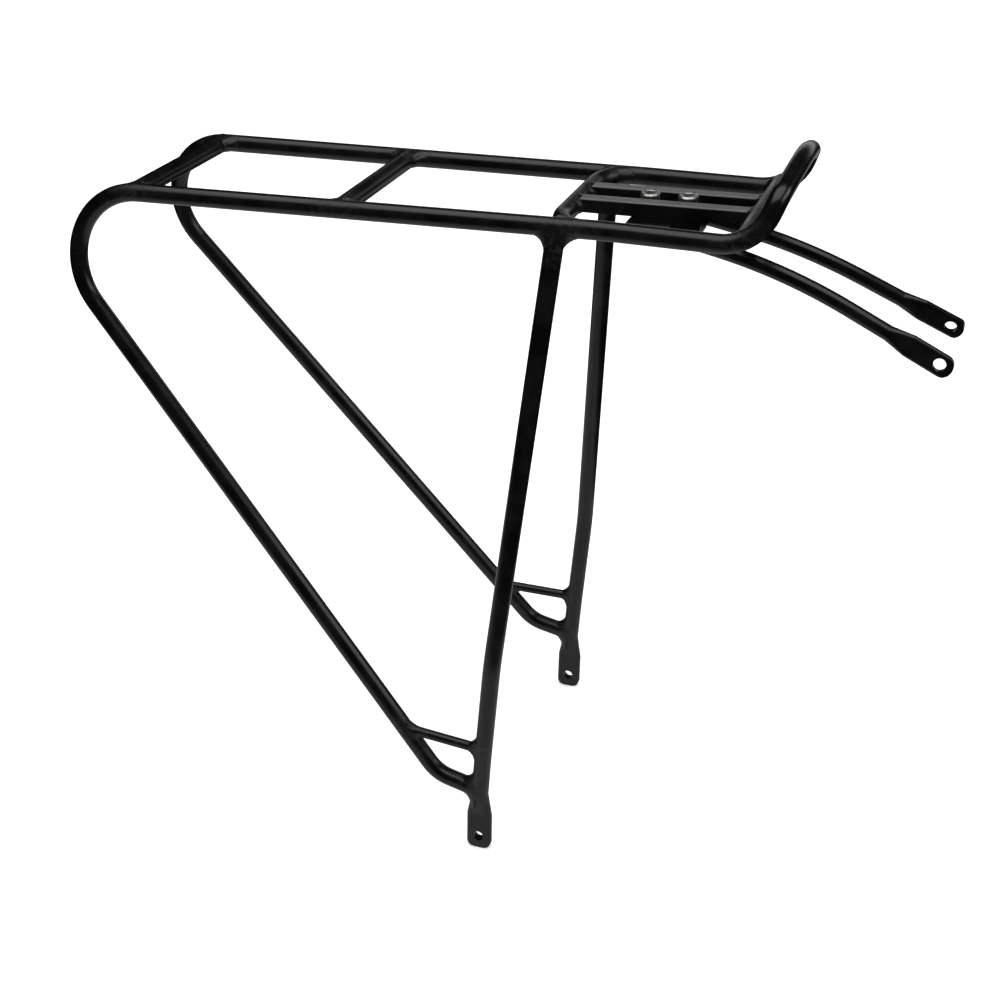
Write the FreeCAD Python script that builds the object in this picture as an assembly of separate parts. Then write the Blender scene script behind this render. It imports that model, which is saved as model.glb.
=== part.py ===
"""Welded tubular bicycle rear carrier with two sliding front stays.

Units are millimetres.  +X points to the front of the bicycle, +Z is up and +Y is the
bicycle's left side.  The origin lies midway between the two frame eyelets that the
carrier's feet bolt to.  The carrier is mirrored about the XZ plane.
"""
import FreeCAD, Part
import math
import os

Vector = FreeCAD.Vector

# ---------------------------------------------------------------- driving dimensions
frame_tube_radius = 5.0
frame_tube_wall = 1.5

# side rails, seen from the side and from above
rail_rear_x = -279.8
rail_rear_half_width = 52.4
rail_rear_height = 361.9
rail_kink_x = 60.0
rail_kink_half_width = 47.4
rail_kink_height = 361.1
rail_kink_radius = 400.0
rear_bend_radius = 39.6

# front hoop, bent up out of the rails
hoop_foot_x = 139.0
hoop_foot_half_width = 48.5
hoop_foot_height = 359.4
hoop_tilt = 68.2
hoop_foot_radius = 26.0
hoop_shoulder_reach = 25.3
hoop_shoulder_half_width = 44.2
hoop_shoulder_radius = 11.0
hoop_crest_reach = 36.9
hoop_crest_radius = 70.0

# legs and feet
foot_half_spacing = 88.0
front_leg_top_x = 39.0
front_leg_top_half_width = 47.6
front_leg_knee_x = 11.7
front_leg_knee_height = 120.5
front_leg_shin_x = 4.1
front_leg_shin_height = 56.0
front_leg_ankle_x = 1.4
front_leg_ankle_height = 30.0
front_leg_knee_radius = 120.0
front_leg_shin_radius = 260.0
rear_leg_elbow_x = -25.0
rear_leg_elbow_half_width = 87.4
rear_leg_elbow_height = 38.8
rear_leg_elbow_radius = 22.0
rear_leg_weld_x = 1.6
rear_leg_weld_height = 32.4
brace_radius = 2.9
brace_rear_x = -45.5
brace_rear_half_width = 85.0
brace_rear_height = 64.4
brace_front_x = 4.6
brace_front_height = 61.6

# flattened ends
foot_width = 15.2
foot_thickness = 5.0
foot_taper_length = 15.0
foot_hole_radius = 3.25
foot_end_margin = 8.2
foot_tip_radius = 5.0
stay_end_width = 12.0
stay_end_thickness = 4.2
stay_taper_length = 12.0
stay_blade_length = 17.0
stay_end_margin = 7.0
stay_tip_radius = 6.0

# cross members
rear_cross_x = -200.5
middle_cross_x = -79.5
bowed_cross_x = 43.5
bowed_cross_setback = 7.0
bowed_cross_straight_half = 27.0
bowed_cross_bend_radius = 24.0
front_cross_x = 133.4
front_cross_height = 362.9
front_cross_half_length = 48.2

# slot bars carried by the two front cross members
slot_bar_offset = 11.0
slot_bar_width = 7.8
slot_bar_height = 7.4
slot_bar_top = 366.2
slot_bar_ledge_width = 3.5
slot_bar_ledge_thickness = 1.5
slot_bar_rear_x = 41.0
slot_bar_front_x = 130.2
slot_bar_edge_radius = 0.7
slot_groove_width = 0.55
slot_groove_depth = 0.3
slot_groove_pitch = 1.7

# clamp that hangs from the slot and grips the stays
clamp_rear_x = 66.0
clamp_upper_front_x = 104.0
clamp_tongue_front_x = 101.0
clamp_hump_front_x = 90.0
clamp_pad_half_width = 14.6
clamp_hump_radius = 5.6
clamp_gap = 1.2
clamp_bottom = 346.4
clamp_chamfer = 2.6
slide_clearance = 0.1
groove_clearance = 0.05
screw_x = (74.3, 94.3)
screw_radius = 3.0
screw_clearance_radius = 3.3
screw_head_radius = 5.1
screw_head_height = 6.0
screw_head_chamfer = 0.5
screw_socket_width = 5.0
screw_socket_depth = 3.0
screw_length = 22.0
washer_radius = 6.0
washer_thickness = 1.0
nut_width = 10.0
nut_height = 5.0

# stays, drawn in their own plane and splayed about the clamp grooves
stay_radius = 4.0
stay_wall = 1.2
stay_groove_offset = 19.0
stay_groove_height = 351.6
stay_splay = 8.5
stay_rear_x = 63.0
stay_bend_x = 93.0
stay_bend_radius = 25.0
stay_sweep_x = 150.1
stay_sweep_drop = 12.8
stay_sweep_radius = 300.0
stay_hole_x = 228.5
stay_hole_drop = 51.5


# ---------------------------------------------------------------- shared geometry
def tangent_arc(before, corner, after, radius):
    """Start, middle and end of the arc that rounds one corner of a path."""
    back = (before - corner).normalize()
    ahead = (after - corner).normalize()
    half_angle = back.getAngle(ahead) / 2
    bisector = (back + ahead).normalize()
    setback = radius / math.tan(half_angle)
    centre = corner + bisector * (radius / math.sin(half_angle))
    middle = centre - bisector * radius
    return corner + back * setback, middle, corner + ahead * setback


def rounded_path(points, radii):
    """Straight runs between the points, with a tangent arc at each inner point."""
    edges = []
    run_start = points[0]
    for before, corner, after, radius in zip(points, points[1:], points[2:], radii):
        start, middle, end = tangent_arc(before, corner, after, radius)
        edges.append(Part.LineSegment(run_start, start).toShape())
        edges.append(Part.Arc(start, middle, end).toShape())
        run_start = end
    edges.append(Part.LineSegment(run_start, points[-1]).toShape())
    return Part.Wire(edges)


def swept_rod(points, radii, radius):
    """Solid round bar along a rounded path."""
    path = rounded_path(points, radii)
    direction = points[1] - points[0]
    circle = Part.Circle(points[0], direction, radius).toShape()
    return path.makePipe(Part.Face(Part.Wire([circle])))


def swept_tube(points, radii, radius, wall):
    """Round tube along a rounded path."""
    outer = swept_rod(points, radii, radius)
    bore = swept_rod(points, radii, radius - wall)
    return outer.cut(bore)


def mirrored(shape):
    return shape.mirror(Vector(0, 0, 0), Vector(0, 1, 0))


def right_side(point):
    return Vector(point.x, -point.y, point.z)


def biggest_solid(shape):
    return max(shape.Solids, key=lambda solid: solid.Volume)


def stadium_wire(width, thickness, height):
    """Flat oval section in the plane z = height, its long side along X."""
    end = thickness / 2
    flat = width / 2 - end
    corners = [Vector(-flat, end, height), Vector(flat, end, height),
               Vector(flat, -end, height), Vector(-flat, -end, height)]
    return Part.Wire([
        Part.LineSegment(corners[0], corners[1]).toShape(),
        Part.Arc(corners[1], Vector(width / 2, 0, height), corners[2]).toShape(),
        Part.LineSegment(corners[2], corners[3]).toShape(),
        Part.Arc(corners[3], Vector(-width / 2, 0, height), corners[0]).toShape()])


def quartered_circle(radius, height):
    """Round section in the plane z = height, split to match the flat oval's edges."""
    diagonal = radius * math.sqrt(0.5)
    corners = [Vector(-diagonal, diagonal, height), Vector(diagonal, diagonal, height),
               Vector(diagonal, -diagonal, height), Vector(-diagonal, -diagonal, height)]
    crowns = [Vector(0, radius, height), Vector(radius, 0, height),
              Vector(0, -radius, height), Vector(-radius, 0, height)]
    edges = []
    for index, crown in enumerate(crowns):
        following = corners[(index + 1) % 4]
        edges.append(Part.Arc(corners[index], crown, following).toShape())
    return Part.Wire(edges)


def blade_outline(width, top, bottom, tip_radius):
    """Outline of a flattened end in the plane y = 0, with two rounded lower corners."""
    half = width / 2
    flat = half - tip_radius
    shoulder = bottom + tip_radius
    skew = tip_radius * math.sqrt(0.5)
    left_arc = Part.Arc(Vector(-half, 0, shoulder),
                        Vector(-flat - skew, 0, shoulder - skew), Vector(-flat, 0, bottom))
    right_arc = Part.Arc(Vector(flat, 0, bottom),
                         Vector(flat + skew, 0, shoulder - skew), Vector(half, 0, shoulder))
    edges = [Part.LineSegment(Vector(-half, 0, top), Vector(-half, 0, shoulder)).toShape(),
             left_arc.toShape()]
    if flat > 0:
        edges.append(Part.LineSegment(Vector(-flat, 0, bottom),
                                      Vector(flat, 0, bottom)).toShape())
    edges += [right_arc.toShape(),
              Part.LineSegment(Vector(half, 0, shoulder), Vector(half, 0, top)).toShape(),
              Part.LineSegment(Vector(half, 0, top), Vector(-half, 0, top)).toShape()]
    return Part.Wire(edges)


def flattened_end(tube_radius, width, thickness, taper, blade, margin, tip_radius):
    """Tube end pressed flat and drilled, hanging down -Z from the tube at the origin.

    The hole's axis lies along Y, at the depth taper + blade.
    """
    oval = stadium_wire(width, thickness, -taper)
    press = Part.makeLoft([quartered_circle(tube_radius, 0), oval], True)
    hole_depth = taper + blade
    strip = Part.Face(stadium_wire(width, thickness, -taper))
    strip = strip.extrude(Vector(0, 0, -blade - margin))
    outline = Part.Face(blade_outline(width, -taper, -hole_depth - margin, tip_radius))
    outline.translate(Vector(0, -thickness, 0))
    strip = strip.common(outline.extrude(Vector(0, 2 * thickness, 0)))
    hole = Part.makeCylinder(foot_hole_radius, 2 * thickness,
                             Vector(0, -thickness, -hole_depth), Vector(0, 1, 0))
    return press.fuse(strip).cut(hole)


def aimed(shape, start, target):
    """Moves a shape that hangs down -Z so that it runs from start towards target.

    Both points lie in one plane parallel to XZ, so the turn is about Y alone.
    """
    run = target - start
    turn = math.degrees(math.atan2(-run.x, -run.z))
    placed = shape.copy()
    placed.rotate(Vector(0, 0, 0), Vector(0, 1, 0), turn)
    placed.translate(start)
    return placed


# ---------------------------------------------------------------- welded frame
def hoop_point(half_width, reach):
    """Point on the tilted plane of the front hoop."""
    tilt = math.radians(hoop_tilt)
    return Vector(hoop_foot_x + reach * math.cos(tilt), half_width,
                  hoop_foot_height + reach * math.sin(tilt))


def loop_points():
    """Left corners of the carrier's one long bent tube, from foot weld to hoop shoulder."""
    return [Vector(rear_leg_weld_x, foot_half_spacing, rear_leg_weld_height),
            Vector(rear_leg_elbow_x, rear_leg_elbow_half_width, rear_leg_elbow_height),
            Vector(rail_rear_x, rail_rear_half_width, rail_rear_height),
            Vector(rail_kink_x, rail_kink_half_width, rail_kink_height),
            hoop_point(hoop_foot_half_width, 0),
            hoop_point(hoop_shoulder_half_width, hoop_shoulder_reach)]


def loop_route():
    """Whole route of the bent tube, and the radius at each of its corners."""
    left = loop_points()
    crest = hoop_point(0, hoop_crest_reach)
    points = left + [crest] + [right_side(point) for point in reversed(left)]
    radii = [rear_leg_elbow_radius, rear_bend_radius, rail_kink_radius,
             hoop_foot_radius, hoop_shoulder_radius]
    return points, radii + [hoop_crest_radius] + radii[::-1]


def front_leg_points():
    return [Vector(front_leg_top_x, front_leg_top_half_width, rail_kink_height),
            Vector(front_leg_knee_x, foot_half_spacing, front_leg_knee_height),
            Vector(front_leg_shin_x, foot_half_spacing, front_leg_shin_height),
            Vector(front_leg_ankle_x, foot_half_spacing, front_leg_ankle_height)]


def front_leg_envelope():
    """Front leg filled solid, which trims the pieces welded to it."""
    return swept_rod(front_leg_points(), [front_leg_knee_radius, front_leg_shin_radius],
                     frame_tube_radius)


def make_front_leg(loop_envelope):
    """Left front leg: tube from the rail down to its own flattened, drilled foot."""
    points = front_leg_points()
    tube = swept_tube(points, [front_leg_knee_radius, front_leg_shin_radius],
                      frame_tube_radius, frame_tube_wall)
    eyelet = Vector(0, foot_half_spacing, 0)
    blade = (points[-1] - eyelet).Length - foot_taper_length
    foot = flattened_end(frame_tube_radius, foot_width, foot_thickness,
                         foot_taper_length, blade, foot_end_margin, foot_tip_radius)
    foot = aimed(foot, points[-1], eyelet)
    return biggest_solid(tube.fuse(foot).cut(loop_envelope))


def make_loop_tube(leg_envelope):
    """The long tube: rear leg, rail, front hoop, rail and rear leg in one piece."""
    points, radii = loop_route()
    tube = swept_tube(points, radii, frame_tube_radius, frame_tube_wall)
    tube = tube.cut(leg_envelope)
    return biggest_solid(tube.cut(mirrored(leg_envelope)))


def make_leg_brace(loop_envelope, leg_envelope):
    """Short rod that closes the lower corner between the two left legs."""
    points = [Vector(brace_rear_x, brace_rear_half_width, brace_rear_height),
              Vector(brace_front_x, foot_half_spacing, brace_front_height)]
    rod = swept_rod(points, [], brace_radius)
    return biggest_solid(rod.cut(loop_envelope).cut(leg_envelope))


def make_straight_cross_tube(x, height, reach, loop_envelope):
    points = [Vector(x, -reach, height), Vector(x, reach, height)]
    tube = swept_tube(points, [], frame_tube_radius, frame_tube_wall)
    return biggest_solid(tube.cut(loop_envelope))


def bowed_cross_route():
    """Cross tube whose middle is set back, so that it leaves both rails on a slant."""
    inset = rail_kink_half_width - bowed_cross_straight_half
    slant = 2 * math.atan2(bowed_cross_setback, inset)
    shoulder = bowed_cross_straight_half + bowed_cross_bend_radius * math.tan(slant / 2)
    middle_x = bowed_cross_x - bowed_cross_setback
    end_x = middle_x + (rail_kink_half_width - shoulder) * math.tan(slant)
    points = [Vector(end_x, rail_kink_half_width, rail_kink_height),
              Vector(middle_x, shoulder, rail_kink_height),
              Vector(middle_x, -shoulder, rail_kink_height),
              Vector(end_x, -rail_kink_half_width, rail_kink_height)]
    return points, [bowed_cross_bend_radius] * 2


def make_bowed_cross_tube(loop_envelope, leg_envelope):
    points, radii = bowed_cross_route()
    tube = swept_tube(points, radii, frame_tube_radius, frame_tube_wall)
    tube = tube.cut(loop_envelope).cut(leg_envelope)
    return biggest_solid(tube.cut(mirrored(leg_envelope)))


# ---------------------------------------------------------------- slot bars
def slot_bar_section():
    """Left bar's section at x = 0: an L with a grooved top, its ledge towards the slot."""
    inner = slot_bar_offset - slot_bar_width / 2
    outer = slot_bar_offset + slot_bar_width / 2
    bottom = slot_bar_top - slot_bar_height
    outline = [(inner - slot_bar_ledge_width, bottom), (outer, bottom),
               (outer, slot_bar_top), (inner, slot_bar_top),
               (inner, bottom + slot_bar_ledge_thickness),
               (inner - slot_bar_ledge_width, bottom + slot_bar_ledge_thickness)]
    corners = [Vector(0, y, z) for y, z in outline]
    return Part.Face(Part.makePolygon(corners + corners[:1]))


def slot_bar_grooves(length):
    """Three fine grooves along the bar's top."""
    grooves = []
    for step in (-1, 0, 1):
        middle = slot_bar_offset + step * slot_groove_pitch
        corner = Vector(0, middle - slot_groove_width / 2, slot_bar_top - slot_groove_depth)
        grooves.append(Part.makeBox(length, slot_groove_width, 2 * slot_groove_depth, corner))
    return grooves


def is_top_edge(edge):
    """Long edges at the two upper corners of a slot bar."""
    box = edge.BoundBox
    return box.ZLength < 0.01 and box.XLength > 10 and abs(box.ZMax - slot_bar_top) < 0.01


def make_slot_bar(bowed_envelope, front_envelope):
    """Left slot bar, trimmed to the two cross tubes that it is welded between."""
    length = slot_bar_front_x - slot_bar_rear_x
    bar = slot_bar_section().extrude(Vector(length, 0, 0))
    bar = bar.makeFillet(slot_bar_edge_radius, [edge for edge in bar.Edges if is_top_edge(edge)])
    for groove in slot_bar_grooves(length):
        bar = bar.cut(groove)
    bar.translate(Vector(slot_bar_rear_x, 0, 0))
    return biggest_solid(bar.cut(bowed_envelope).cut(front_envelope))


# ---------------------------------------------------------------- stay clamp
def stay_axis_cylinder(side, radius, rear_x, front_x):
    """Cylinder on the axis of one stay groove, between two stations along X."""
    start = Vector(rear_x, side * stay_groove_offset, stay_groove_height)
    return Part.makeCylinder(radius, front_x - rear_x, start, Vector(1, 0, 0))


def stay_grooves():
    radius = stay_radius + groove_clearance
    return [stay_axis_cylinder(side, radius, clamp_rear_x - 1, clamp_hump_front_x + 1)
            for side in (-1, 1)]


def screw_holes():
    depth = slot_bar_top - clamp_bottom
    return [Part.makeCylinder(screw_clearance_radius, depth, Vector(x, 0, clamp_bottom - 1))
            for x in screw_x]


def cut_all(shape, tools):
    for tool in tools:
        shape = shape.cut(tool)
    return shape


def clamp_jaw(front_x, bottom, top):
    """Block between the stays with a round hump over each stay, kept from bottom to top."""
    length = front_x - clamp_rear_x
    jaw = Part.makeBox(length, 2 * clamp_pad_half_width, top - bottom,
                       Vector(clamp_rear_x, -clamp_pad_half_width, bottom))
    slab = Part.makeBox(length, 4 * stay_groove_offset, top - bottom,
                        Vector(clamp_rear_x, -2 * stay_groove_offset, bottom))
    for side in (-1, 1):
        hump = stay_axis_cylinder(side, clamp_hump_radius, clamp_rear_x, clamp_hump_front_x)
        jaw = jaw.fuse(hump.common(slab))
    return jaw


def rear_nosing(height, rise):
    """Wedge that slopes the clamp's rear edge away; rise is +1 for an upper edge, -1 lower."""
    start = clamp_rear_x - 1
    reach = clamp_chamfer + 1
    outline = [(start, height + rise), (start + reach, height + rise),
               (start + reach, height), (start, height - rise * reach)]
    corners = [Vector(x, -2 * stay_groove_offset, z) for x, z in outline]
    face = Part.Face(Part.makePolygon(corners + corners[:1]))
    return face.extrude(Vector(0, 4 * stay_groove_offset, 0))


def make_clamp_upper_jaw():
    """Jaw that bears on the undersides of the slot bars and on top of both stays."""
    top = slot_bar_top - slot_bar_height - slide_clearance
    jaw = clamp_jaw(clamp_upper_front_x, stay_groove_height + clamp_gap / 2, top)
    return biggest_solid(cut_all(jaw, stay_grooves() + screw_holes() + [rear_nosing(top, 1)]))


def make_clamp_lower_jaw():
    """Jaw under the stays, drawn up by the two screws."""
    jaw = clamp_jaw(clamp_tongue_front_x, clamp_bottom, stay_groove_height - clamp_gap / 2)
    tools = stay_grooves() + screw_holes() + [rear_nosing(clamp_bottom, -1)]
    return biggest_solid(cut_all(jaw, tools))


def hexagon_prism(across_flats, height, base):
    """Upright hexagonal prism on a base point."""
    corner_radius = across_flats / math.sqrt(3)
    corners = []
    for step in range(6):
        angle = math.radians(60 * step)
        corners.append(base + Vector(corner_radius * math.cos(angle),
                                     corner_radius * math.sin(angle), 0))
    return Part.Face(Part.makePolygon(corners + corners[:1])).extrude(Vector(0, 0, height))


def washer_seat():
    """Height of the washers' undersides, just above the ledges in the slot."""
    return slot_bar_top - slot_bar_height + slot_bar_ledge_thickness + slide_clearance


def make_screw(x):
    """Socket-head cap screw with a chamfered rim."""
    seat = washer_seat() + washer_thickness
    shank = Part.makeCylinder(screw_radius, screw_length, Vector(x, 0, seat - screw_length))
    head = Part.makeCylinder(screw_head_radius, screw_head_height, Vector(x, 0, seat))
    rim = [edge for edge in head.Edges
           if edge.BoundBox.ZLength < 0.01 and edge.BoundBox.ZMin > seat + 1]
    head = head.makeChamfer(screw_head_chamfer, rim)
    socket_floor = Vector(x, 0, seat + screw_head_height - screw_socket_depth)
    socket = hexagon_prism(screw_socket_width, screw_socket_depth + 1, socket_floor)
    return shank.fuse(head).removeSplitter().cut(socket)


def make_washer(x):
    base = Vector(x, 0, washer_seat())
    disc = Part.makeCylinder(washer_radius, washer_thickness, base)
    return disc.cut(Part.makeCylinder(screw_clearance_radius, washer_thickness, base))


def make_nut(x):
    base = Vector(x, 0, clamp_bottom - nut_height)
    block = hexagon_prism(nut_width, nut_height, base)
    return block.cut(Part.makeCylinder(screw_radius, nut_height, base))


def grouped(maker):
    """One compound with a separate solid at each screw."""
    return Part.makeCompound([maker(x) for x in screw_x])


# ---------------------------------------------------------------- stays
def make_stay():
    """Left stay: a bent tube, gripped at its rear, flattened and drilled at its front.

    It is drawn in the XZ plane with its grip on the X axis, then splayed outwards.
    """
    sweep = Vector(stay_sweep_x, 0, -stay_sweep_drop)
    eyelet = Vector(stay_hole_x, 0, -stay_hole_drop)
    run = (eyelet - sweep).normalize()
    press_start = eyelet - run * (stay_taper_length + stay_blade_length)
    points = [Vector(stay_rear_x, 0, 0), Vector(stay_bend_x, 0, 0), sweep, press_start]
    tube = swept_tube(points, [stay_bend_radius, stay_sweep_radius], stay_radius, stay_wall)
    end = flattened_end(stay_radius, stay_end_width, stay_end_thickness,
                        stay_taper_length, stay_blade_length, stay_end_margin, stay_tip_radius)
    stay = tube.fuse(aimed(end, press_start, eyelet))
    stay.rotate(Vector(0, 0, 0), Vector(1, 0, 0), stay_splay)
    stay.translate(Vector(0, stay_groove_offset, stay_groove_height))
    return biggest_solid(stay)


# ---------------------------------------------------------------- assembly
def build_parts():
    points, radii = loop_route()
    loop_envelope = swept_rod(points, radii, frame_tube_radius)
    leg_envelope = front_leg_envelope()
    bowed_points, bowed_radii = bowed_cross_route()
    bowed_envelope = swept_rod(bowed_points, bowed_radii, frame_tube_radius)
    front_cross_points = [Vector(front_cross_x, -front_cross_half_length, front_cross_height),
                          Vector(front_cross_x, front_cross_half_length, front_cross_height)]
    front_envelope = swept_rod(front_cross_points, [], frame_tube_radius)

    front_leg = make_front_leg(loop_envelope)
    brace = make_leg_brace(loop_envelope, leg_envelope)
    slot_bar = make_slot_bar(bowed_envelope, front_envelope)
    stay = make_stay()
    rail_slope = (rail_kink_height - rail_rear_height) / (rail_kink_x - rail_rear_x)
    parts = {
        "loop_tube": make_loop_tube(leg_envelope),
        "bowed_cross_tube": make_bowed_cross_tube(loop_envelope, leg_envelope),
        "front_cross_tube": make_straight_cross_tube(front_cross_x, front_cross_height,
                                                     front_cross_half_length, loop_envelope),
        "clamp_upper_jaw": make_clamp_upper_jaw(),
        "clamp_lower_jaw": make_clamp_lower_jaw(),
        "clamp_screws": grouped(make_screw),
        "clamp_washers": grouped(make_washer),
        "clamp_nuts": grouped(make_nut),
    }
    for name, x in (("rear_cross_tube", rear_cross_x), ("middle_cross_tube", middle_cross_x)):
        height = rail_rear_height + rail_slope * (x - rail_rear_x)
        parts[name] = make_straight_cross_tube(x, height, rail_rear_half_width, loop_envelope)
    for name, shape in (("front_leg", front_leg), ("leg_brace", brace),
                        ("slot_bar", slot_bar), ("stay", stay)):
        parts["left_" + name] = shape
        parts["right_" + name] = mirrored(shape)
    return parts


os.makedirs("parts", exist_ok=True)
for node, shape in build_parts().items():
    if not shape.isValid():
        print("not valid:", node)
    shape.exportStep("parts/" + node + ".step")
    box = shape.BoundBox
    print("%-20s %2d solid(s) %10.1f mm3   x %7.1f..%7.1f  y %6.1f..%6.1f  z %6.1f..%6.1f" % (
        node, len(shape.Solids), shape.Volume,
        box.XMin, box.XMax, box.YMin, box.YMax, box.ZMin, box.ZMax))
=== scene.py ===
import bpy
import math
import numpy as np
from mathutils import Matrix, Vector


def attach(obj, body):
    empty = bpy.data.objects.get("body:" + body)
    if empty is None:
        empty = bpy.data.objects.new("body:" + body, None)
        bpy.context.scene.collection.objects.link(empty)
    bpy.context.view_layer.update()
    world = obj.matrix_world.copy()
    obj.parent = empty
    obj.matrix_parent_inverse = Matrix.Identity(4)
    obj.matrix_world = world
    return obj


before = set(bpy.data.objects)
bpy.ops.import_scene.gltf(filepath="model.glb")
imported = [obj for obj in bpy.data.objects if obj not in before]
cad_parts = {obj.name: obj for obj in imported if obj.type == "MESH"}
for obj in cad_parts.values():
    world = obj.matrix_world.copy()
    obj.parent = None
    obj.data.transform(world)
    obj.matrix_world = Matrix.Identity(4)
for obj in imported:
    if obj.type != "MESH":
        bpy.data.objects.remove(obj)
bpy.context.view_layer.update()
print("frame loaded:", len(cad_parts), "nodes")

mm = 0.001  # every size below is in millimetres unless it says otherwise


# surfaces

def unit(vectors):
    # each vector divided by its own length
    vectors = np.asarray(vectors, float)
    return vectors / np.linalg.norm(vectors, axis=-1, keepdims=True)


def roundedRoute(corners, radii, steps=24):
    # straight runs between the corners, with an arc tangent to both runs at each inner corner:
    # arc = centre + radius * (cos(turn) * from + sin(turn) * towards)
    corners = [np.array(corner, float) for corner in corners]
    route = [corners[0][None]]
    for before, corner, after, radius in zip(corners, corners[1:], corners[2:], radii):
        back, ahead = unit(before - corner), unit(after - corner)
        half = math.acos(float(np.clip(back @ ahead, -1, 1))) / 2
        middle = corner + unit(back + ahead) * radius / math.sin(half)
        fromCentre = corner + back * radius / math.tan(half) - middle
        towards = unit(-back) * radius
        turn = np.linspace(0, math.pi - 2 * half, steps)[:, None]
        route.append(middle + np.cos(turn) * fromCentre + np.sin(turn) * towards)
    route.append(corners[-1][None])
    return np.concatenate(route)


def nearestOnRoute(points, route):
    # every point dropped square onto every run of the route, keeping the closest foot
    start, run = route[:-1], route[1:] - route[:-1]
    share = ((points[..., None, :] - start) * run).sum(-1) / ((run * run).sum(-1) + 1e-12)
    feet = start + np.clip(share, 0, 1)[..., None] * run
    gaps = np.linalg.norm(points[..., None, :] - feet, axis=-1)
    best = gaps.argmin(-1)
    foot = np.take_along_axis(feet, best[..., None, None], -2)[..., 0, :]
    return foot, np.take_along_axis(gaps, best[..., None], -1)[..., 0], unit(run)[best]


def ringSurface(name, grid, material, body):
    # closed surface from a grid that joins up with itself both ways; its signed volume says
    # which way round the faces must go to point outwards
    rows, columns = grid.shape[:2]
    row, column = np.meshgrid(np.arange(rows), np.arange(columns), indexing="ij")
    nextRow, nextColumn = (row + 1) % rows, (column + 1) % columns
    faces = np.stack([row * columns + column, nextRow * columns + column,
                      nextRow * columns + nextColumn, row * columns + nextColumn], -1)
    faces = faces.reshape(-1, 4)
    points = grid.reshape(-1, 3) * mm
    first, second, third, fourth = (points[faces[:, corner]] for corner in range(4))
    volume = (np.cross(second - first, third - first) * first).sum()
    volume += (np.cross(third - first, fourth - first) * first).sum()
    if volume < 0:
        faces = faces[:, ::-1]
    mesh = bpy.data.meshes.new(name)
    mesh.from_pydata(points.tolist(), [], faces.tolist())
    mesh.polygons.foreach_set("use_smooth", np.ones(len(faces), bool))
    mesh.materials.append(material)
    mesh.update()
    piece = bpy.data.objects.new(name, mesh)
    bpy.context.scene.collection.objects.link(piece)
    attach(piece, body)
    return piece


def roundSection(radius, heading, turns):
    # circle square to the heading: radius * (cos(turn) * side + sin(turn) * up)
    side = unit(np.cross(heading, [0.0, 0.31, 0.95]))
    up = np.cross(heading, side)
    normals = np.cos(turns)[:, None] * side + np.sin(turns)[:, None] * up
    return normals * radius, normals


def barSection(halfWidth, halfHeight, heading, turns):
    # rounded rectangle as a superellipse: (|y| / halfWidth)^8 + (|z| / halfHeight)^8 = 1
    across, upright = np.cos(turns), np.sin(turns)
    reach = ((np.abs(across) / halfWidth) ** 8 + (np.abs(upright) / halfHeight) ** 8) ** (-1 / 8)
    flat = np.zeros_like(turns)
    offsets = np.stack([flat, across * reach, upright * reach], -1)
    slopeAcross = np.sign(across) * (np.abs(across) * reach / halfWidth) ** 7 / halfWidth
    slopeUpright = np.sign(upright) * (np.abs(upright) * reach / halfHeight) ** 7 / halfHeight
    return offsets, unit(np.stack([flat, slopeAcross, slopeUpright], -1))


def weldCollar(weld, route, tubeRadius, start, heading, section):
    # grid of (turn, pass): each line of the branch's surface is followed until it meets the main
    # tube; the bead is a hollow curve from the branch to the main tube through that corner, with
    # ripples along it, and it is closed through the metal behind
    turns = np.linspace(0, 2 * math.pi, weld["turns"], endpoint=False)
    heading = unit(heading)
    offsets, branchNormals = section(heading, turns)
    travel = np.linspace(0, weld["search"], weld["searchSteps"])
    lines = np.asarray(start, float) + offsets[:, None, :] + travel[None, :, None] * heading
    gaps = nearestOnRoute(lines, route)[1]
    touching = gaps <= tubeRadius + weld["contact"]
    reached = np.where(touching.any(1), touching.argmax(1), gaps.argmin(1))
    corner = lines[np.arange(weld["turns"]), reached]
    foot, _, along = nearestOnRoute(corner, route)
    mainNormals = unit(corner - foot)
    lengthwise = np.abs((branchNormals * along).sum(-1, keepdims=True)) ** 2
    slowWave = weld["slowWobble"] * np.sin(3 * turns + weld["seed"])
    quickWave = weld["quickWobble"] * np.sin(7 * turns + 2 * weld["seed"])
    wobble = (1 + slowWave + quickWave)[:, None]
    width = (weld["width"] + weld["flare"] * lengthwise) * wobble
    climb = weld["climb"] * (2 - wobble)
    onBranch = corner - heading * climb - branchNormals * weld["sink"]
    spread = corner + branchNormals * width + heading * width * weld["lean"]
    spreadFoot = nearestOnRoute(spread, route)[0]
    onMain = spreadFoot + unit(spread - spreadFoot) * (tubeRadius - weld["sink"])
    outward = unit(branchNormals + mainNormals)
    control = corner + (onBranch + onMain - 2 * corner) / 2 * weld["fullness"] + outward * weld["crown"]
    share = np.linspace(0, 1, weld["passes"])[None, :, None]
    bead = ((1 - share) ** 2 * onBranch[:, None] + 2 * share * (1 - share) * control[:, None]
            + share ** 2 * onMain[:, None])
    around = np.linalg.norm(np.roll(corner, -1, 0) - corner, axis=-1).cumsum()
    ripples = np.round(around[-1] / weld["ripplePitch"])
    phase = around / around[-1] * ripples * 2 * math.pi
    swell = np.sin(math.pi * share[0, :, 0])
    chevron = weld["chevron"] * swell
    ripple = np.sin(phase[:, None] + chevron[None, :]) * swell[None, :]
    bead = bead + outward[:, None] * ripple[..., None] * weld["ripple"]
    inside = corner - branchNormals * weld["rootDepth"] - mainNormals * weld["rootDepth"]
    back = np.stack([(onMain + inside) / 2, inside, (inside + onBranch) / 2], 1)
    return np.concatenate([bead, back], 1)


# shader maths

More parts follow.
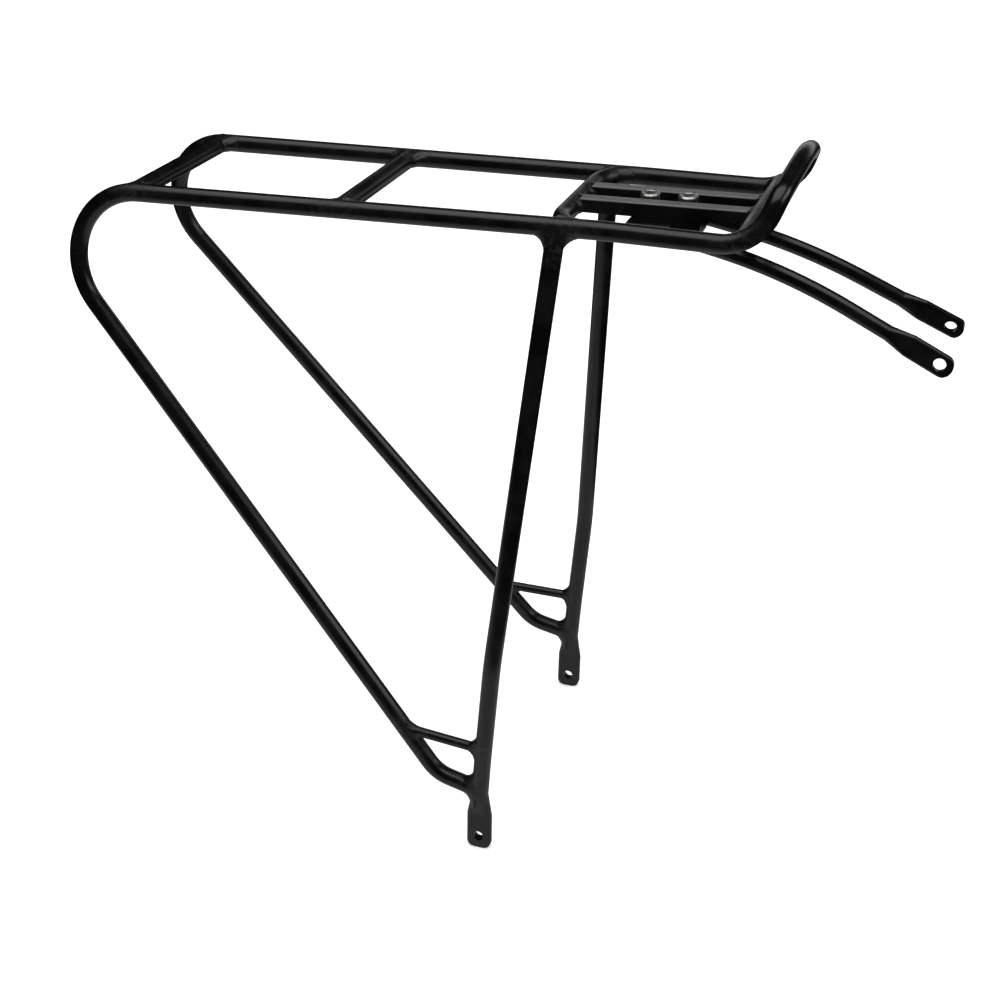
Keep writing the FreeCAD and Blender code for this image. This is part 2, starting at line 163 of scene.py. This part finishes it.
class Value:
    # a socket that adds, subtracts, multiplies and divides by making Math nodes
    def __init__(self, graph, socket):
        self.graph, self.socket = graph, socket

    def __add__(self, other):
        return self.graph.maths("ADD", self, other)

    def __radd__(self, other):
        return self.graph.maths("ADD", other, self)

    def __sub__(self, other):
        return self.graph.maths("SUBTRACT", self, other)

    def __rsub__(self, other):
        return self.graph.maths("SUBTRACT", other, self)

    def __mul__(self, other):
        return self.graph.maths("MULTIPLY", self, other)

    def __rmul__(self, other):
        return self.graph.maths("MULTIPLY", other, self)

    def __truediv__(self, other):
        return self.graph.maths("DIVIDE", self, other)

    def __rtruediv__(self, other):
        return self.graph.maths("DIVIDE", other, self)


class Graph:
    # the node tree of one material; make() is the only place that adds a node
    def __init__(self, name):
        self.material = bpy.data.materials.new(name)
        self.material.use_nodes = True
        self.tree = self.material.node_tree
        self.tree.nodes.clear()
        self.place = self.make("ShaderNodeTexCoord").outputs["Object"]

    def make(self, kind, settings=None, sockets=None):
        node = self.tree.nodes.new(kind)
        for key, setting in (settings or {}).items():
            setattr(node, key, setting)
        for key, given in (sockets or {}).items():
            given = given.socket if isinstance(given, Value) else given
            if isinstance(given, bpy.types.NodeSocket):
                self.tree.links.new(given, node.inputs[key])
            else:
                node.inputs[key].default_value = given
        return node

    def maths(self, operation, *given):
        node = self.make("ShaderNodeMath", {"operation": operation}, dict(enumerate(given)))
        return Value(self, node.outputs[0])

    def axes(self):
        parts = self.make("ShaderNodeSeparateXYZ", None, {0: self.place})
        return [Value(self, parts.outputs[axis]) for axis in range(3)]

    def noise(self, scale, detail=2.0, roughness=0.5, distortion=0.0, place=None):
        # noise with about `scale` features to the metre
        node = self.make("ShaderNodeTexNoise", None,
                         {"Vector": place or self.place, "Scale": scale, "Detail": detail,
                          "Roughness": roughness, "Distortion": distortion})
        return Value(self, node.outputs[0])

    def ease(self, given, low, high, fromEdge=0.0, toEdge=1.0):
        # smooth step from fromEdge at low to toEdge at high
        node = self.make("ShaderNodeMapRange", {"interpolation_type": "SMOOTHSTEP"},
                         {"Value": given, "From Min": low, "From Max": high,
                          "To Min": fromEdge, "To Max": toEdge})
        return Value(self, node.outputs[0])

    def mixColour(self, factor, first, second):
        node = self.make("ShaderNodeMix", {"data_type": "RGBA"},
                         {0: factor, 6: (*first, 1.0) if isinstance(first, tuple) else first,
                          7: (*second, 1.0) if isinstance(second, tuple) else second})
        return node.outputs[2]

    def bump(self, height, distance, strength=1.0, normal=None):
        # height in units of distance, which is in metres
        sockets = {"Height": height, "Distance": distance, "Strength": strength}
        if normal is not None:
            sockets["Normal"] = normal
        return self.make("ShaderNodeBump", None, sockets).outputs[0]

    def finish(self, settings, colour, roughness, normal):
        sockets = {"Base Color": colour, "Roughness": roughness, "Normal": normal, **settings}
        shader = self.make("ShaderNodeBsdfPrincipled", None, sockets)
        self.make("ShaderNodeOutputMaterial", None, {0: shader.outputs[0]})
        return self.material


# finishes

powderCoat = {
    "darkest": (0.0012, 0.0012, 0.0013),
    "lightest": (0.0032, 0.0032, 0.0034),
    "weldShade": (0.0075, 0.0075, 0.0078),
    "roughness": 0.27,
    "roughnessSpread": 0.09,
    "weldRoughness": 0.2,
    "peelPerMetre": 620.0,
    "peelDepth": 0.000012,
    "grainPerMetre": 3200.0,
    "grainDepth": 0.0000022,
    "weldPerMetre": 330.0,
    "weldDepth": 0.00022,
    "weldReach": 0.022,
    "weldFrom": 0.006,
    "weldRagged": 0.012,
    "cloudPerMetre": 60.0,
    "index": 1.46,
    # places where tubes are welded on the left; the right side mirrors them
    "welds": [(-200.5, 51.2, 361.7), (-79.5, 49.5, 361.4), (45.5, 47.6, 361.1), (133.4, 48.3, 361.5),
              (39.0, 47.8, 356.0), (41.0, 11.0, 362.0), (129.0, 11.0, 362.0),
              (1.0, 88.0, 35.0), (2.0, 88.0, 61.0), (-42.0, 85.2, 63.0)],
}


barTopSheen = {
    # painted sheen: the bars' grooved tops are painted a paler, streaked grey than their sides, standing in
    # for the light the grooves catch from the overhead lamp; they are also made rougher
    "shade": (0.082, 0.082, 0.083),
    "streak": (0.058, 0.058, 0.059),
    "roughness": 0.2,
    "from": 365.3,
    "to": 365.9,
    "streaksPerMetre": 1500.0,
    "stretch": 0.04,
}


def coatedBlack(name, finish, weldMottle=1.0, extraRoughness=0.0, top=None):
    graph = Graph(name)
    x, y, z = graph.axes()
    mirrored = graph.make("ShaderNodeCombineXYZ", None,
                          {0: x, 1: graph.maths("ABSOLUTE", y), 2: z}).outputs[0]
    nearest = None
    for spot in finish["welds"]:
        gap = graph.make("ShaderNodeVectorMath", {"operation": "DISTANCE"},
                         {0: mirrored, 1: tuple(part * mm for part in spot)})
        gap = Value(graph, gap.outputs["Value"])
        nearest = gap if nearest is None else graph.maths("MINIMUM", nearest, gap)
    cloud = graph.noise(finish["cloudPerMetre"], 3.0)
    weldZone = graph.ease(nearest + (cloud - 0.5) * finish["weldRagged"], finish["weldFrom"],
                          finish["weldReach"], weldMottle, 0.0)
    mottle = graph.noise(finish["weldPerMetre"], 3.0, 0.55, 0.6)
    peel = graph.noise(finish["peelPerMetre"], 2.0)
    grain = graph.noise(finish["grainPerMetre"], 2.0, 0.7)
    shade = graph.mixColour(graph.ease(cloud, 0.35, 0.7), finish["darkest"], finish["lightest"])
    shade = graph.mixColour(weldZone * graph.ease(mottle, 0.42, 0.68), shade, finish["weldShade"])
    roughness = (finish["roughness"] + extraRoughness + (cloud - 0.5) * finish["roughnessSpread"]
                 + (grain - 0.5) * finish["roughnessSpread"]
                 + weldZone * mottle * finish["weldRoughness"])
    if top:
        # painted sheen: above the given height the colour turns a paler, streaked grey, standing in for
        # light caught by the grooved tops
        sheenMask = graph.ease(z, top["from"] * mm, top["to"] * mm)
        stretched = graph.make("ShaderNodeCombineXYZ", None, {0: x * top["stretch"], 1: y, 2: z}).outputs[0]
        streaks = graph.noise(top["streaksPerMetre"], 3.0, 0.5, 0.0, stretched)
        paintedSheen = graph.mixColour(graph.ease(streaks, 0.35, 0.65), top["shade"], top["streak"])
        shade = graph.mixColour(sheenMask, shade, paintedSheen)
        roughness = roughness + sheenMask * top["roughness"]
    normal = graph.bump(grain, finish["grainDepth"])
    normal = graph.bump(peel, finish["peelDepth"], 1.0, normal)
    normal = graph.bump(mottle * weldZone, finish["weldDepth"], 1.0, normal)
    return graph.finish({"IOR": finish["index"], "Specular IOR Level": 0.5}, shade, roughness, normal)


fastenerSteel = {
    "bright": (0.66, 0.655, 0.64),
    "dull": (0.42, 0.415, 0.40),
    "roughness": 0.33,
    "screwCentres": (74.3, 94.3),
    "ribs": 46,
    "ribDepth": 0.00011,
    "ribEdge": 0.3,
    "ribInside": 4.6,
    "ribOutside": 4.9,
    "ribFoot": 361.8,
    "ribTop": 366.6,
    "threadPitch": 1.0,
    "threadDepth": 0.0003,
    "threadTop": 356.0,
    "turningPerMetre": 19800.0,
    "turningRoughness": 0.03,
    "stainPerMetre": 420.0,
    "stainRoughness": 0.16,
    "scratchPerMetre": 2600.0,
    "scratchDepth": 0.000003,
}


def turnedSteel(name, finish, ribbed, threaded):
    graph = Graph(name)
    x, y, z = graph.axes()
    firstCentre, secondCentre = (centre * mm for centre in finish["screwCentres"])
    second = graph.maths("GREATER_THAN", x, (firstCentre + secondCentre) / 2)
    across = x - (firstCentre + second * (secondCentre - firstCentre))
    reach = graph.maths("SQRT", across * across + y * y)
    turn = graph.maths("ARCTAN2", y, across)
    stain = graph.noise(finish["stainPerMetre"], 4.0)
    rings = graph.maths("SINE", reach * finish["turningPerMetre"])
    shade = graph.mixColour(graph.ease(stain, 0.38, 0.72), finish["bright"], finish["dull"])
    roughness = (finish["roughness"] + (stain - 0.5) * finish["stainRoughness"]
                 + rings * finish["turningRoughness"])
    normal = graph.bump(rings * 0.5 + graph.noise(finish["scratchPerMetre"], 2.0),
                        finish["scratchDepth"])
    if ribbed:
        foot, top, edge = finish["ribFoot"], finish["ribTop"], finish["ribEdge"]
        band = (graph.ease(z, foot * mm, (foot + edge) * mm)
                * graph.ease(z, (top - edge) * mm, top * mm, 1.0, 0.0)
                * graph.ease(reach, finish["ribInside"] * mm, finish["ribOutside"] * mm))
        ribs = graph.maths("SINE", turn * finish["ribs"])
        normal = graph.bump(ribs * band, finish["ribDepth"], 1.0, normal)
    if threaded:
        band = graph.ease(z, (finish["threadTop"] - 1.0) * mm, finish["threadTop"] * mm, 1.0, 0.0)
        helix = graph.maths("PINGPONG", z / (finish["threadPitch"] * mm) + turn / (2 * math.pi), 0.5)
        normal = graph.bump(helix * band, finish["threadDepth"], 1.0, normal)
    return graph.finish({"Metallic": 1.0}, shade, roughness, normal)


blackTube = coatedBlack("powder_coat_tube", powderCoat)
# the bar material has a painted sheen on the bars' tops
blackBar = coatedBlack("powder_coat_bar_painted_sheen", powderCoat, 0.4, 0.05, barTopSheen)
blackClamp = coatedBlack("powder_coat_clamp", powderCoat, 0.0, 0.06)
blackStay = coatedBlack("powder_coat_stay", powderCoat, 0.0, -0.03)
blackWeld = coatedBlack("powder_coat_weld", powderCoat, 0.55, 0.05)
screwSteel = turnedSteel("stainless_screw", fastenerSteel, True, True)
plainSteel = turnedSteel("stainless_washer_and_nut", fastenerSteel, False, False)

finishOf = {"left_slot_bar": blackBar, "right_slot_bar": blackBar,
            "clamp_upper_jaw": blackClamp, "clamp_lower_jaw": blackClamp,
            "left_stay": blackStay, "right_stay": blackStay,
            "clamp_screws": screwSteel, "clamp_washers": plainSteel, "clamp_nuts": plainSteel}
for nodeName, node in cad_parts.items():
    for slotIndex in range(len(node.material_slots)):
        node.material_slots[slotIndex].material = finishOf.get(nodeName, blackTube)
print("finishes set")


# welds

tube = {
    "radius": 5.0,
    "braceRadius": 2.9,
    "brace": [(-45.5, 85.0, 64.4), (4.6, 88.0, 61.6)],
    "barHalfWidth": 3.9,
    "barHalfHeight": 3.7,
    "loop": [(1.6, 88.0, 32.4), (-25.0, 87.4, 38.8), (-279.8, 52.4, 361.9), (60.0, 47.4, 361.1),
             (139.0, 48.5, 359.4), (148.4, 44.2, 382.9), (152.7, 0.0, 393.7)],
    "loopRadii": [22.0, 39.6, 400.0, 26.0, 11.0],
    "frontLeg": [(39.0, 47.6, 361.1), (11.7, 88.0, 120.5), (4.1, 88.0, 56.0), (1.4, 88.0, 30.0),
                 (0.0, 88.0, 0.0)],
    "frontLegRadii": [120.0, 260.0, 300.0],
    "bowed": [(46.0, 47.4, 361.1), (36.5, 35.2, 361.1), (36.5, -35.2, 361.1), (46.0, -47.4, 361.1)],
    "bowedRadii": [24.0, 24.0],
    "frontCross": [(133.4, -48.0, 362.9), (133.4, 48.0, 362.9)],
    "legBack": 32.0,  # how far below a front leg's top its weld is looked for
    "footBack": 18.0,  # the same for the rear leg's end at the foot
    "seedStep": 1.7,  # how much the weld's wobble shifts from one joint to the next
}
loopRoute = roundedRoute(tube["loop"], tube["loopRadii"])
legRoute = roundedRoute(tube["frontLeg"], tube["frontLegRadii"])
bowedRoute = roundedRoute(tube["bowed"], tube["bowedRadii"])
frontRoute = roundedRoute(tube["frontCross"], [])

weldBead = {"width": 2.6, "flare": 4.6, "climb": 4.2, "fullness": 0.5, "crown": 0.25, "sink": 0.06,
            "lean": 0.45, "ripple": 0.08, "ripplePitch": 1.9, "chevron": 1.4,
            "slowWobble": 0.10, "quickWobble": 0.06, "rootDepth": 0.7, "search": 40.0,
            "searchSteps": 500, "contact": 0.01, "turns": 144, "passes": 12}
barBead = {**weldBead, "width": 1.7, "flare": 0.4, "climb": 1.8, "fullness": 0.75, "crown": 0.2,
           "ripple": 0.08, "search": 30.0}
legBead = {**weldBead, "width": 4.0, "flare": 3.0, "climb": 6.5, "fullness": 0.42, "ripple": 0.03}
bowedBead = {**weldBead, "ripple": 0.04}
hoopBead = {**weldBead, "width": 1.5, "flare": 1.2, "climb": 2.4, "lean": 0.1, "ripple": 0.05}
footBead = {**weldBead, "width": 3.2, "flare": 4.6, "climb": 5.4, "fullness": 0.45, "ripple": 0.05}
braceBead = {**weldBead, "width": 2.4, "flare": 3.4, "climb": 4.2, "fullness": 0.45, "ripple": 0.07}


def tubeEnd(radius):
    return lambda heading, turns: roundSection(radius, heading, turns)


def barEnd(heading, turns):
    return barSection(tube["barHalfWidth"], tube["barHalfHeight"], heading, turns)


legTop, legKnee = np.array(tube["frontLeg"][0]), np.array(tube["frontLeg"][1])
rearWeld, rearElbow = np.array(tube["loop"][0]), np.array(tube["loop"][1])
bowedEnd, bowedShoulder = np.array(tube["bowed"][0]), np.array(tube["bowed"][1])
braceRear, braceFront = np.array(tube["brace"])
braceMiddle = (braceRear + braceFront) / 2
legUp, rearIn = legTop - legKnee, rearWeld - rearElbow
legStart = legTop - tube["legBack"] * unit(legUp)
rearStart = rearWeld - tube["footBack"] * unit(rearIn)
frameEnd, braceEnd = tubeEnd(tube["radius"]), tubeEnd(tube["braceRadius"])
joints = {
    # name: (bead, main route, start of the branch, its heading, its section)
    "rear_cross": (weldBead, loopRoute, (-200.5, 30.0, 361.71), (0, 1, 0), frameEnd),
    "middle_cross": (weldBead, loopRoute, (-79.5, 30.0, 361.43), (0, 1, 0), frameEnd),
    "bowed_cross": (bowedBead, loopRoute, bowedShoulder, bowedEnd - bowedShoulder, frameEnd),
    "front_cross": (hoopBead, loopRoute, (133.4, 25.0, 362.9), (0, 1, 0), frameEnd),
    "leg_top": (legBead, loopRoute, legStart, legUp, frameEnd),
    "leg_foot": (footBead, legRoute, rearStart, rearIn, frameEnd),
    "brace_front": (braceBead, legRoute, braceMiddle, braceFront - braceRear, braceEnd),
    "brace_rear": (braceBead, loopRoute, braceMiddle, braceRear - braceFront, braceEnd),
    "bar_rear": (barBead, bowedRoute, (60.0, 11.0, 362.5), (-1, 0, 0), barEnd),
    "bar_front": (barBead, frontRoute, (112.0, 11.0, 362.5), (1, 0, 0), barEnd),
}
for count, (jointName, (bead, route, start, heading, section)) in enumerate(joints.items()):
    weld = {**bead, "seed": tube["seedStep"] * count}
    collar = weldCollar(weld, route, tube["radius"], start, heading, section)
    for side, sign in (("left", 1.0), ("right", -1.0)):
        ringSurface("weld_" + side + "_" + jointName, collar * (1.0, sign, 1.0), blackWeld, "carrier")
print("welds made:", 2 * len(joints))


# rounded rims on the screw heads

screwRim = {"height": 366.95, "reach": 3.95, "halfWidth": 0.98, "halfHeight": 0.72,
            "turns": 160, "steps": 28}


def rimRing(rim, centreX):
    # ring of oval section: reach + halfWidth * cos(step), height + halfHeight * sin(step)
    turns = np.linspace(0, 2 * math.pi, rim["turns"], endpoint=False)[:, None]
    steps = np.linspace(0, 2 * math.pi, rim["steps"], endpoint=False)[None, :]
    reach = rim["reach"] + rim["halfWidth"] * np.cos(steps)
    heights = rim["height"] + rim["halfHeight"] * np.sin(steps) + 0 * turns
    return np.stack([centreX + reach * np.cos(turns), reach * np.sin(turns), heights], -1)


for rimName, centreX in zip(("rear", "front"), fastenerSteel["screwCentres"]):
    ringSurface("screw_rim_" + rimName, rimRing(screwRim, centreX), plainSteel, "clamp")
print("screw rims made: 2")


# floor, light and camera

studio = {
    "floorHeight": -0.0086,
    "floorHalf": 9.0,
    "floorShade": (0.88, 0.88, 0.88),
    "floorPatch": 0.985,
    "floorPatchesPerMetre": 14.0,
    "floorRoughness": 0.9,
    "floorGrainPerMetre": 900.0,
    "floorGrainDepth": 0.00001,
    "skyStrength": 1.22,
}

lamps = {
    # name: (shape, width, height, place, point it faces, watts)
    "softbox": ("RECTANGLE", 2.6, 2.0, (-0.05, -0.3, 2.15), (-0.05, -0.3, 0.0), 34.0),
    "side_strip": ("RECTANGLE", 1.7, 0.6, (1.6, 0.15, 1.1), (0.0, 0.0, 0.25), 8.5),
    "back_strip": ("RECTANGLE", 2.0, 0.6, (0.0, 2.0, 0.62), (0.0, 0.0, 0.36), 2.8),
    "floor_back": ("RECTANGLE", 2.4, 0.9, (-0.3, 1.15, -0.0076), (-0.3, 1.15, 1.0), 2.4),
    "floor_bounce": ("DISK", 0.9, 0.9, (-0.24, 0.0, -0.0076), (-0.24, 0.0, 1.0), 1.05),
}

floorGraph = Graph("pale_floor")
floorPatch = tuple(studio["floorPatch"] * part for part in studio["floorShade"])
floorShade = floorGraph.mixColour(floorGraph.noise(studio["floorPatchesPerMetre"], 3.0),
                                  studio["floorShade"], floorPatch)
floorGrain = floorGraph.noise(studio["floorGrainPerMetre"], 2.0)
pale = floorGraph.finish({"Specular IOR Level": 0.0}, floorShade, studio["floorRoughness"],
                         floorGraph.bump(floorGrain, studio["floorGrainDepth"]))
half, height = studio["floorHalf"], studio["floorHeight"]
floorMesh = bpy.data.meshes.new("floor")
floorMesh.from_pydata([(-half, -half, height), (half, -half, height), (half, half, height),
                       (-half, half, height)], [], [(0, 1, 2, 3)])
floorMesh.materials.append(pale)
floor = bpy.data.objects.new("floor", floorMesh)
floor.visible_glossy = False  # the coat mirrors only the lamps, so that the dark tubes stay dark
bpy.context.scene.collection.objects.link(floor)

sky = bpy.data.worlds.new("studio_sky")
sky.use_nodes = True
sky.node_tree.nodes["Background"].inputs["Color"].default_value = (1.0, 1.0, 1.0, 1.0)
sky.node_tree.nodes["Background"].inputs["Strength"].default_value = studio["skyStrength"]
sky.cycles_visibility.glossy = False  # polished surfaces see a dark studio, not the sky
bpy.context.scene.world = sky

for lampName, (shape, width, tall, place, target, watts) in lamps.items():
    light = bpy.data.lights.new(lampName, "AREA")
    light.shape = shape
    light.size = width
    if shape == "RECTANGLE":
        light.size_y = tall
    light.energy = watts
    lamp = bpy.data.objects.new(lampName, light)
    lamp.location = place
    lamp.rotation_euler = (Vector(target) - Vector(place)).to_track_quat("-Z", "Y").to_euler()
    lamp.visible_camera = False
    bpy.context.scene.collection.objects.link(lamp)

view = {
    "place": (0.277851, -0.782765, 0.615683),
    "azimuth": 20.404,
    "elevation": 27.796,
    "roll": -1.781,
    "lens": 57.989,
}


def aimCamera(given):
    # backwards = direction to the camera; right is level; both are then rolled about backwards
    azimuth, elevation, roll = (math.radians(given[key]) for key in ("azimuth", "elevation", "roll"))
    backwards = np.array([math.sin(azimuth) * math.cos(elevation),
                          -math.cos(azimuth) * math.cos(elevation), math.sin(elevation)])
    level = np.array([math.cos(azimuth), math.sin(azimuth), 0.0])
    upright = np.cross(backwards, level)
    right = math.cos(roll) * level + math.sin(roll) * upright
    up = -math.sin(roll) * level + math.cos(roll) * upright
    placed = np.identity(4)
    placed[:3, 0], placed[:3, 1], placed[:3, 2], placed[:3, 3] = right, up, backwards, given["place"]
    return Matrix(placed.tolist())


lens = bpy.data.cameras.new("camera")
lens.lens = view["lens"]
lens.sensor_width = 36.0
lens.clip_start = 0.01
camera = bpy.data.objects.new("camera", lens)
camera.matrix_world = aimCamera(view)
bpy.context.scene.collection.objects.link(camera)
bpy.context.scene.camera = camera
bpy.context.scene.view_settings.view_transform = "Standard"
bpy.context.scene.view_settings.look = "None"
print("floor, light and camera set")
